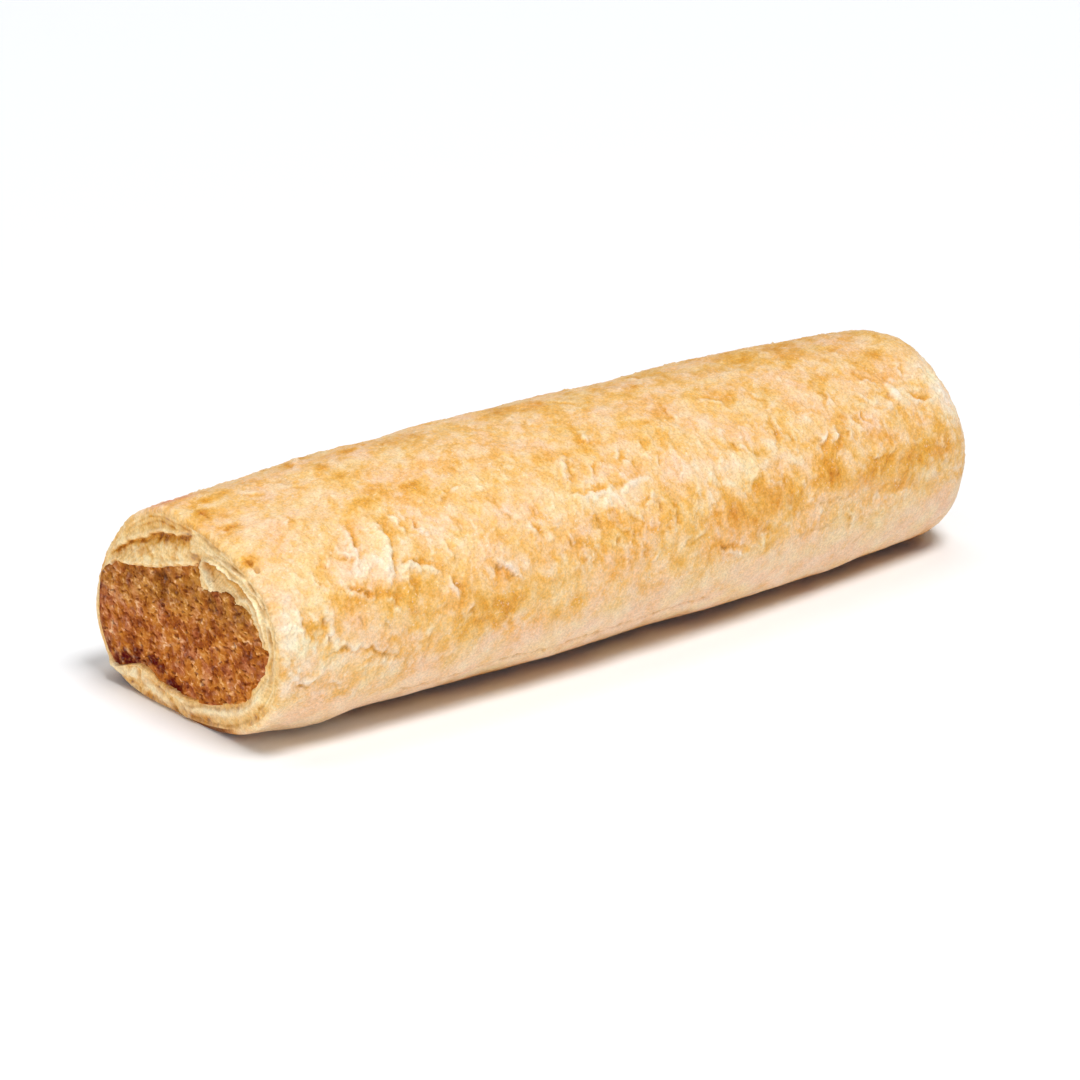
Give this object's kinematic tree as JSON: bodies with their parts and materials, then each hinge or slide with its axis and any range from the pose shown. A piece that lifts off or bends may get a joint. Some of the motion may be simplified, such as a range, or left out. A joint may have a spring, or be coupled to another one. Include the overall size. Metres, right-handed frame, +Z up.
{
  "type": "sausage roll",
  "caption": "Long baked sausage roll: golden puff pastry wrapped round a core of ground meat that shows at the cut ends.",
  "frame": {"origin": "centre of the bounding box, at the height of the surface that the roll rests on", "axes": "+X along the roll, from the straight cut end to the rounder end; +Z up; the front side faces -Y"},
  "size_m": [0.15, 0.055, 0.037],
  "materials": {
    "pastry": null,
    "meat": null
  },
  "bodies": {
    "root": {"pastry": "pastry", "sausage_filling": "meat"}
  },
  "joints": []
}
